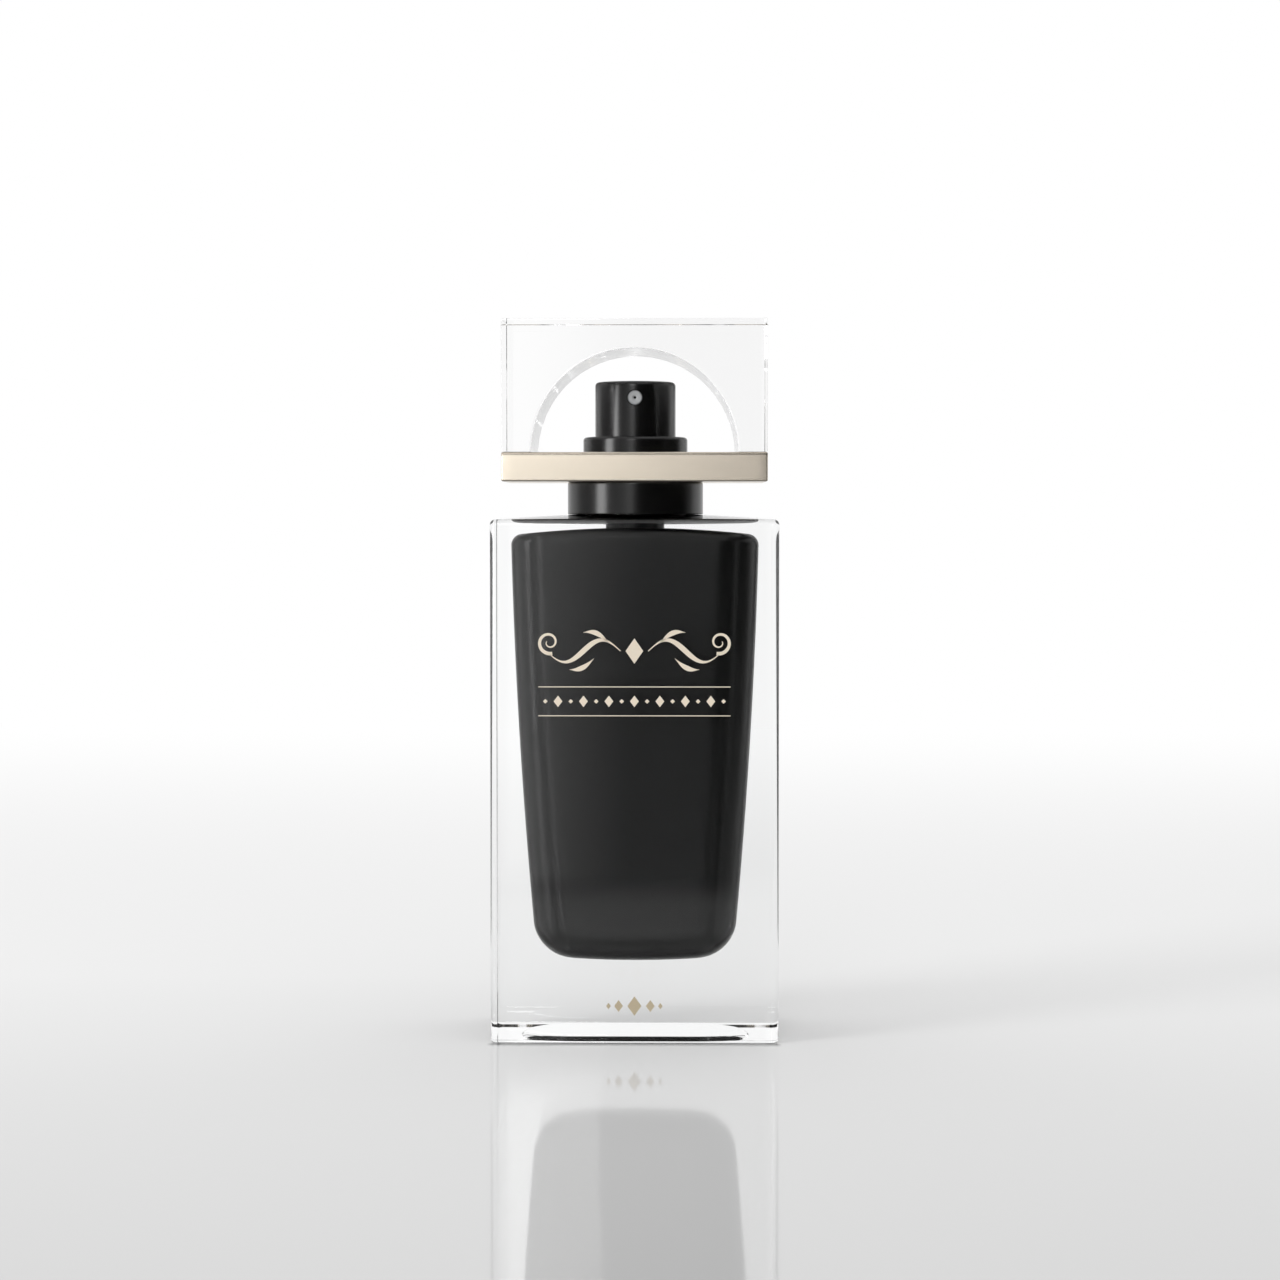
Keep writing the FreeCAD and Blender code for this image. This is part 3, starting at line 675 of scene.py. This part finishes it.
def button_piece():
    """The button's shell: a cup of rings whose grid is drawn in to a circle round the nozzle's hole, then
    given its wall.

    Round the hole a square of the unrolled wall, as wide as the hole, becomes its circle. A point further out
    lies between its own place and the circle's direction, by its share of the way to a square twice as far.
    """
    hole = NOZZLE_HOLE
    reach = 2.1 * hole
    columns = BUTTON_STEPS
    step = 2 * math.pi * BUTTON / columns
    cells = round(hole / step)
    hole_side = cells * step
    across = (np.arange(columns) - columns // 2) * step
    # Rows below the hole, round it and above it
    heights = [BUTTON_BOTTOM, BUTTON_BOTTOM + FLAT]
    heights += list(np.linspace(BUTTON_BOTTOM + 0.4, NOZZLE_HEIGHT - reach - 0.1, 14))
    heights += list(NOZZLE_HEIGHT + np.arange(-2 * cells, cells + 1) * step)
    heights += list(np.linspace(NOZZLE_HEIGHT + hole_side + step, BUTTON_TOP - BUTTON_ROUND, 4))
    flat_x, flat_z = np.meshgrid(across, np.array(heights), indexing="xy")
    away_x, away_z = flat_x, flat_z - NOZZLE_HEIGHT
    square = np.maximum(np.abs(away_x), np.abs(away_z))
    length = np.maximum(np.hypot(away_x, away_z), 1e-6)
    limit = min(2 * cells * step, BUTTON_TOP - BUTTON_ROUND - NOZZLE_HEIGHT)
    share = np.clip((limit - square) / (limit - hole_side), 0, 1)
    round_x = away_x / length * hole * square / hole_side
    round_z = away_z / length * hole * square / hole_side
    flat_x = away_x + (round_x - away_x) * share
    flat_z = NOZZLE_HEIGHT + away_z + (round_z - away_z) * share
    angle = flat_x / BUTTON - math.pi / 2
    wall = np.stack([BUTTON * np.cos(angle), BUTTON * np.sin(angle), flat_z], axis=-1)
    rings = list(wall)
    ring_angle = across / BUTTON - math.pi / 2

    def crown_ring(radius, height):
        """A circle of the button's rounded edge or top."""
        circle = radius * np.stack([np.cos(ring_angle), np.sin(ring_angle)], axis=1)
        return lifted(circle, height)

    for turn in np.linspace(0, math.pi / 2, 9)[1:]:
        inset, drop = BUTTON_ROUND * (1 - math.cos(turn)), BUTTON_ROUND * (1 - math.sin(turn))
        rings.append(crown_ring(BUTTON - inset, BUTTON_TOP - drop))
    for radius in (BUTTON - BUTTON_ROUND - FLAT, 4.5, 2.0, 0.5):
        rings.append(crown_ring(radius, BUTTON_TOP))
    inside = np.zeros((len(rings), columns), dtype=bool)
    inside[: len(heights)] = square < hole_side - step / 2
    taken = inside.reshape(-1)
    faces = grid_faces(len(rings), columns)
    faces = [face for face in faces if not any(taken[corner] for corner in face)]
    points = np.concatenate(rings + [np.array([[0.0, 0.0, BUTTON_TOP]])])
    faces += fan_faces((len(rings) - 1) * columns, columns, len(points) - 1)
    used = np.zeros(len(points), dtype=bool)
    used[np.unique(np.concatenate([np.array(face) for face in faces]))] = True
    renumbered = np.cumsum(used) - 1
    faces = [[int(renumbered[corner]) for corner in face] for face in faces]
    made = piece("button_skin", points[used], faces, "black_metal", "button", ("button_shell",))
    solidify = made.modifiers.new("wall", "SOLIDIFY")
    solidify.thickness = BUTTON_WALL * MM
    solidify.offset = -1
    solidify.use_even_offset = True
    settled = bpy.data.meshes.new_from_object(made.evaluated_get(bpy.context.evaluated_depsgraph_get()))
    made.modifiers.clear()
    made.data = settled
    settled.set_sharp_from_angle(angle=SHARP)
    return made


def nozzle_piece():
    """The spray insert: a turned cup whose axis is laid forwards."""
    outline = softened(
        [
            (NOZZLE, NOZZLE_BACK, 0),
            (NOZZLE, NOZZLE_FACE, 0.14),
            (ORIFICE_MOUTH, NOZZLE_FACE, 0.05),
            (ORIFICE, NOZZLE_FACE - ORIFICE_DEPTH, 0),
            (ORIFICE, NOZZLE_FACE - NOZZLE_WALL, 0),
            (NOZZLE_BORE, NOZZLE_FACE - NOZZLE_WALL, 0),
            (NOZZLE_BORE, NOZZLE_BACK, 0),
        ]
    )
    rings = lathe_rings(outline, NOZZLE_STEPS)
    laid = [np.column_stack([ring[:, 0], -ring[:, 2], NOZZLE_HEIGHT + ring[:, 1]]) for ring in rings]
    return rings_piece("nozzle_skin", laid, "grey_plastic", "button", ("nozzle_insert",), close_rows=True)


def plate_piece():
    """The cap's plate: rounded-rectangle rings over the outside that turn into circles down the bore."""
    flat = rounded_ring(CAP[0] - PLATE_ROUND, CAP[1] - PLATE_ROUND, FLAT)
    rings = []
    for level, sign in ((STEP, -1), (PLATE_TOP, 1)):
        turns = np.linspace(0, math.pi / 2, 9)
        for turn in turns[::-1] if sign < 0 else turns:
            inset = PLATE_ROUND * (1 - math.cos(turn))
            ring = rounded_ring(CAP[0] - inset, CAP[1] - inset, PLATE_ROUND + FLAT - inset)
            rings.append(lifted(ring, level + sign * PLATE_ROUND * (math.sin(turn) - 1)))
        if sign < 0:
            side = rounded_ring(*CAP, PLATE_ROUND + FLAT)
            for height in np.linspace(STEP + PLATE_ROUND + FLAT, PLATE_TOP - PLATE_ROUND - FLAT, 5):
                rings.append(lifted(side, height))
    bore = round_ring(CAP_BORE, flat)
    for ring in between(flat, bore, (0.01, 0.2, 0.5, 0.8, 0.98, 1.0)):
        rings.append(lifted(ring, PLATE_TOP))
    rings += [lifted(bore, PLATE_TOP - FLAT), lifted(bore, LINER_TOP)]
    seat = round_ring(LINER_SEAT, flat)
    rings += [lifted(seat, LINER_TOP), lifted(seat, STEP)]
    for ring in between(seat, flat, (0.02, 0.3, 0.7, 0.99)):
        rings.append(lifted(ring, STEP))
    return rings_piece("plate_skin", rings, "champagne_metal", "cap", ("cap_plate",), close_rows=True)


def block_piece():
    """The clear block: a section carried over the arch from one foot to the other.

    The section goes round the outside, the back, the arch and the front. Its outer corner is a point of the
    block's outline, and its inner one lies in the same direction on the arch.
    """
    corner = BLOCK_ROUND + FLAT
    quarter = np.linspace(0, math.pi / 2, 13)
    side_share = np.array([0, 0.02, 0.15, 0.3, 0.45, 0.6, 0.75, 0.9, 0.98])
    top_share = np.concatenate([[0.005], np.linspace(0.03, 0.97, 41), [0.995]])

    def outline(inset):
        """The block's outline from the right foot over the top to the left foot, drawn in by a distance."""
        radius = corner - inset
        span, knee = CAP[0] - corner, BLOCK_TOP - corner
        rise = PLATE_TOP + (knee - PLATE_TOP) * side_share
        right = np.column_stack([np.full(len(side_share), CAP[0] - inset), rise])
        bend = np.column_stack([span + radius * np.cos(quarter), knee + radius * np.sin(quarter)])
        over = np.column_stack([span * (1 - 2 * top_share), np.full(len(top_share), BLOCK_TOP - inset)])
        half_way = np.concatenate([right, bend])
        mirrored = half_way[::-1] * np.array([-1, 1])
        return np.concatenate([half_way, over, mirrored])

    heading = outline(0)
    angle = np.arctan2(heading[:, 1] - PLATE_TOP, heading[:, 0])
    facing = np.column_stack([np.cos(angle), np.sin(angle)])

    def arch(grow):
        """Points of the arch in the same directions as the outline's, moved outwards by a distance."""
        return np.array([0, PLATE_TOP]) + (ARCH + grow) * facing

    rings = []
    turns = np.linspace(0, math.pi / 2, 8)

    def add(line, depth):
        """One more line of the skin, at a depth."""
        rings.append(np.column_stack([line[:, 0], np.full(len(line), depth), line[:, 1]]))

    for depth in (-CAP[1] + BLOCK_ROUND + FLAT, -6.0, 0.0, 6.0, CAP[1] - BLOCK_ROUND - FLAT):
        add(outline(0), depth)
    for turn in turns:
        add(outline(BLOCK_ROUND * (1 - math.cos(turn))), CAP[1] - BLOCK_ROUND * (1 - math.sin(turn)))
    outer, inner = outline(BLOCK_ROUND), arch(ARCH_ROUND)
    for share in (0.02, 0.3, 0.7, 0.98):
        add(outer + (inner - outer) * share, CAP[1])
    for turn in turns:
        add(arch(ARCH_ROUND * (1 - math.sin(turn))), CAP[1] - ARCH_ROUND * (1 - math.cos(turn)))
    for depth in (CAP[1] - ARCH_ROUND - FLAT, 6.0, 0.0, -6.0, -CAP[1] + ARCH_ROUND + FLAT):
        add(arch(0), depth)
    for turn in turns[::-1]:
        add(arch(ARCH_ROUND * (1 - math.sin(turn))), -CAP[1] + ARCH_ROUND * (1 - math.cos(turn)))
    for share in (0.98, 0.7, 0.3, 0.02):
        add(outer + (inner - outer) * share, -CAP[1])
    for turn in turns[::-1]:
        add(outline(BLOCK_ROUND * (1 - math.cos(turn))), -CAP[1] + BLOCK_ROUND * (1 - math.sin(turn)))
    sections = np.stack(rings, axis=1)
    sections[[0, -1], :, 2] += BLOCK_GAP
    count, around = sections.shape[:2]
    faces = grid_faces(count, around)
    faces += [list(range(around)), list(range((count - 1) * around, count * around))[::-1]]
    return piece("block_skin", sections.reshape(-1, 3), faces, "clear_acrylic", "cap", ("cap_block",))


def ink(path, width):
    """A flat stroke on the front of the glass: a width carried along a path in x and z, with square edges."""
    path = np.asarray(path, dtype=float)
    width = np.broadcast_to(np.asarray(width, dtype=float), len(path))
    along = np.gradient(path, axis=0)
    along /= np.linalg.norm(along, axis=1)[:, None]
    side = np.column_stack([-along[:, 1], along[:, 0]]) * (width / 2)[:, None]
    upper, lower = path + side, path - side
    corners = ((upper, FRONT_INK), (lower, FRONT_INK), (lower, BACK_INK), (upper, BACK_INK))
    rows = [np.column_stack([line[:, 0], np.full(len(line), depth), line[:, 1]]) for line, depth in corners]
    sections = np.stack(rows, axis=1)
    faces = grid_faces(len(path), 4)
    last = (len(path) - 1) * 4
    faces += [[0, 1, 2, 3], [last + 3, last + 2, last + 1, last]]
    return sections.reshape(-1, 3), faces


def joined(strokes):
    """Several meshes as one list of points and faces, each turned to look outwards."""
    points, faces, start = [], [], 0
    for stroke_points, stroke_faces in strokes:
        if signed_volume(stroke_points - stroke_points.mean(axis=0), stroke_faces) < 0:
            stroke_faces = [face[::-1] for face in stroke_faces]
        points.append(stroke_points)
        faces += [[corner + start for corner in face] for face in stroke_faces]
        start += len(stroke_points)
    return np.concatenate(points), faces


def lozenge(x, z, half_width, half_height):
    """A four-sided diamond as a stroke whose width grows and shrinks along a short level path."""
    share = np.array([0.001, 0.5, 0.999])
    path = np.column_stack([x + half_width * (2 * share - 1), np.full(3, z)])
    return ink(path, 2 * half_height * np.array([0.02, 1, 0.02]))


def flourish(side):
    """Half of an ornament, mirrored by `side`: a stem along most of a sine wave that swells in the middle, a
    spiral at its outer end that closes over a turn and a third, and two leaves bowed like half sine waves."""
    share = np.linspace(0, 1, 60)
    swell = 0.16 + 0.75 * np.sin(math.pi * share) ** 2
    stem_x = 2.4 + 12.2 * share
    stem_z = ORNAMENT_HEIGHT + 1.9 * np.sin(2 * math.pi * share * 0.95)
    turn = np.linspace(0, 1, 70)
    curl_angle = math.radians(-105) + 2 * math.pi * 1.35 * turn
    curl_radius = 2.0 * (1 - 0.78 * turn)
    curl_x = 14.7 + curl_radius * np.cos(curl_angle)
    curl_z = ORNAMENT_HEIGHT + 1.5 + curl_radius * np.sin(curl_angle)
    strokes = [
        ink(np.column_stack([side * stem_x, stem_z]), swell),
        ink(np.column_stack([side * curl_x, curl_z]), 0.5 * (1 - turn) + 0.14),
    ]
    leaf_width = 0.06 + 0.8 * np.sin(math.pi * share) ** 1.5
    for start, end, lift in (((4.4, 1.4), (8.8, 3.2), 0.8), ((7.0, -1.3), (11.2, -3.2), -0.7)):
        leaf_x = start[0] + (end[0] - start[0]) * share
        leaf_z = ORNAMENT_HEIGHT + start[1] + (end[1] - start[1]) * share + lift * np.sin(math.pi * share)
        strokes.append(ink(np.column_stack([side * leaf_x, leaf_z]), leaf_width))
    return strokes


def level_rule(height):
    """A thin level line across the front."""
    return ink(np.column_stack([np.linspace(-RULE_HALF, RULE_HALF, 5), np.full(5, height)]), RULE_WIDTH)


def print_piece():
    """The champagne print on the front of the glass: an ornament, a row of diamonds between two thin rules,
    and a small row of diamonds near the foot."""
    strokes = flourish(1) + flourish(-1)
    strokes.append(lozenge(0, ORNAMENT_HEIGHT, 1.5, 2.2))
    strokes += [level_rule(height) for height in RULES]
    for place in range(-ROW_HALF, ROW_HALF + 1):
        strokes.append(lozenge(ROW_PITCH * place, ROW_HEIGHT, *(ROW_SMALL if place % 2 else ROW_BIG)))
    for place, half_width, half_height in LOW_ROW:
        for side in (1, -1) if place else (1,):
            strokes.append(lozenge(side * place, LOW_ROW_HEIGHT, half_width, half_height))
    points, faces = joined(strokes)
    return piece("front_print", points, faces, "champagne_metal", "bottle", finish="champagne_ink")


# The pieces that show
rings_piece(
    "glass_skin",
    reservoir_rings(0.0) + outer_rings(),
    "clear_glass",
    "bottle",
    ("glass_bottle",),
    start_pole=(0, 0, TUB_FLOOR),
    end_pole=(0, 0, PUNT_HEIGHT),
)
rings_piece(
    "lacquer_skin",
    reservoir_rings(LACQUER_GRIP) + reservoir_rings(LACQUER_GRIP - LACQUER)[::-1],
    "black_lacquer",
    "bottle",
    ("inner_lacquer",),
    start_pole=(0, 0, TUB_FLOOR - LACQUER_GRIP),
    end_pole=(0, 0, TUB_FLOOR - LACQUER_GRIP + LACQUER),
)
turned_piece(
    "collar_skin",
    [
        (COLLAR - COLLAR_WALL, COLLAR_BOTTOM, 0),
        (COLLAR, COLLAR_BOTTOM, 0.15),
        (COLLAR, STEP, 0.4),
        (SLEEVE, STEP, 0),
        (SLEEVE, SLEEVE_TOP, 0.6),
        (MOUTH, SLEEVE_TOP, 0.15),
        (MOUTH, SLEEVE_TOP - MOUTH_WALL, 0),
        (SLEEVE - COLLAR_WALL, SLEEVE_TOP - MOUTH_WALL, 0),
        (SLEEVE - COLLAR_WALL, STEP - COLLAR_WALL, 0),
        (COLLAR - COLLAR_WALL, STEP - COLLAR_WALL, 0),
    ],
    "black_metal",
    "bottle",
    ("collar_shell",),
)
button_piece()
nozzle_piece()
plate_piece()
block_piece()
print_piece()

# The pieces of the frame that are still there
for part in frame["record"]["subparts"]:
    node = frame["nodes"][part["node"]]
    if not node.hide_render:
        node.data.materials.clear()
        node.data.materials.append(finishes[part["material_slot"]])


def sight(tree):
    """Three masks of rays: those from the camera, those that have just left a clear piece, and those that
    have met nothing or only clear pieces on their way from the camera."""
    path = tree.nodes.new("ShaderNodeLightPath")
    seen, through, glossy, diffuse = (
        Tone(tree, path.outputs[name])
        for name in ("Is Camera Ray", "Is Transmission Ray", "Glossy Depth", "Diffuse Depth")
    )
    straight = through * seen.math("LESS_THAN", glossy + diffuse, 0.5)
    return seen, through, seen.or_more(straight)


def table_finish():
    """A pale table with a mirror-like coat, its colour painted darker towards the front as shade, melting
    into white far from the object, with a painted contact shadow where the object stands and a painted shadow
    under its punt.

    In front of the picture it gives way to a card that only reflections show, bright on the left and dark on
    the right of a line through the middle.
    """
    made = bpy.data.materials.new("table")
    made.use_nodes = True
    tree = made.node_tree
    tree.nodes.clear()
    output = tree.nodes.new("ShaderNodeOutputMaterial")
    coordinates = tree.nodes.new("ShaderNodeTexCoord")
    place = Tone(tree, coordinates.outputs["Object"])
    x, y, _ = place.axes()
    seen, _, straight = sight(tree)
    far = y.ramp(*WHITE_BEHIND).or_more(straight * (-y).ramp(*WHITE_IN_FRONT))
    far = far.or_more(seen * abs(x).ramp(*WHITE_BESIDE))
    near = y.ramp(*CARD_EDGE).towards(1, straight)
    right = x.ramp(*DARK_RIGHT).towards(1, seen)
    # Painted contact shadow in front of the foot
    contact_shadow = y.band(*CONTACT_SHADOW_LINE) * abs(x).ramp(*CONTACT_ENDS)
    # The table's colour is painted darker towards the front as shade, and along the contact shadow
    tone = y.ramp(*TABLE_SHADE_RAMP, "LINEAR") * near * right * (1 - CONTACT_SHADE * contact_shadow)
    # Painted shadow under the punt, where the gloss is taken away too
    under = abs(x).ramp(*PUNT_SHADE_X) * abs(y).ramp(*PUNT_SHADE_Y)
    card = (x / (CARD_MIDDLE - y)).ramp(*ROOM_SPLIT) * (1 - near)
    matt = place.node("ShaderNodeBsdfDiffuse", inputs={"Color": under.blend(tone.even(), grey(PUNT_SHADOW_GREY))})
    gloss = place.node("ShaderNodeBsdfGlossy", inputs={"Color": grey(1.0), "Roughness": TABLE_ROUGHNESS})
    coated = place.node("ShaderNodeMixShader", inputs={0: TABLE_GLOSS * (1 - under), 1: matt, 2: gloss})
    white = place.node("ShaderNodeEmission", inputs={"Color": grey(1.0), "Strength": 1.0})
    glow = place.node("ShaderNodeEmission", inputs={"Color": card.even(), "Strength": 1.0})
    carded = place.node("ShaderNodeMixShader", inputs={0: 1 - near, 1: coated, 2: glow})
    mixed = place.node("ShaderNodeMixShader", inputs={0: far, 1: carded, 2: white})
    tree.links.new(mixed.socket, output.inputs["Surface"])
    return made


table_mesh = bpy.data.meshes.new("table")
table_corners = [(x * TABLE_HALF, y * TABLE_HALF, 0) for x, y in ((-1, -1), (1, -1), (1, 1), (-1, 1))]
table_mesh.from_pydata(table_corners, [], [(0, 1, 2, 3)])
table_mesh.materials.append(table_finish())
table = bpy.data.objects.new("table", table_mesh)
table.location.z = -TABLE_DROP
scene.collection.objects.link(table)


def room():
    """The light of the room by direction: white behind and above the object; in front bright on the left and
    dark on the right. The camera sees plain white, also through clear pieces, forwards and backwards."""
    world = bpy.data.worlds.new("room")
    scene.world = world
    world.use_nodes = True
    tree = world.node_tree
    background = tree.nodes["Background"]
    coordinates = tree.nodes.new("ShaderNodeTexCoord")
    x, y, z = Tone(tree, coordinates.outputs["Generated"]).axes()
    level = x.ramp(*ROOM_SPLIT) * x.ramp(*ROOM_LEFT)
    level = level.towards(ROOM_BACK_LEVEL, y.ramp(*ROOM_BACK)).towards(1, y.ramp(*ROOM_AHEAD))
    level = level.towards(ROOM_TOP_LEVEL, z.ramp(*ROOM_TOP))
    seen, through, straight = sight(tree)
    plain = seen.or_more(through * y.ramp(*CLEAR_SIGHT)).or_more(straight * (-y).ramp(*CLEAR_SIGHT))
    tree.links.new(level.towards(1, plain).even().socket, background.inputs["Color"])


room()


def soft_light(name, place, aim, width, height, power):
    """A rectangular lamp at a place, turned towards a point."""
    lamp = bpy.data.lights.new(name, "AREA")
    lamp.shape = "RECTANGLE"
    lamp.size, lamp.size_y, lamp.energy = width, height, power
    made = bpy.data.objects.new(name, lamp)
    scene.collection.objects.link(made)
    made.location = place
    direction = np.array(aim) - np.array(place)
    yaw = math.atan2(direction[0], direction[1])
    pitch = math.atan2(direction[2], math.hypot(direction[0], direction[1]))
    made.rotation_euler = Euler((math.pi / 2 + pitch, 0, -yaw), "XYZ")


for lamp_name, settings in LAMPS.items():
    soft_light(lamp_name, *settings)

camera_data = bpy.data.cameras.new("camera")
camera_data.lens, camera_data.sensor_width = CAMERA_LENS, CAMERA_SENSOR
camera_data.clip_start, camera_data.clip_end = CAMERA_CLIP
camera = bpy.data.objects.new("camera", camera_data)
camera.location = [value * MM for value in CAMERA_PLACE]
camera.rotation_euler = (math.radians(90 - CAMERA_PITCH), 0, math.radians(CAMERA_YAW))
scene.collection.objects.link(camera)
scene.camera = camera
scene.view_settings.view_transform = "Standard"
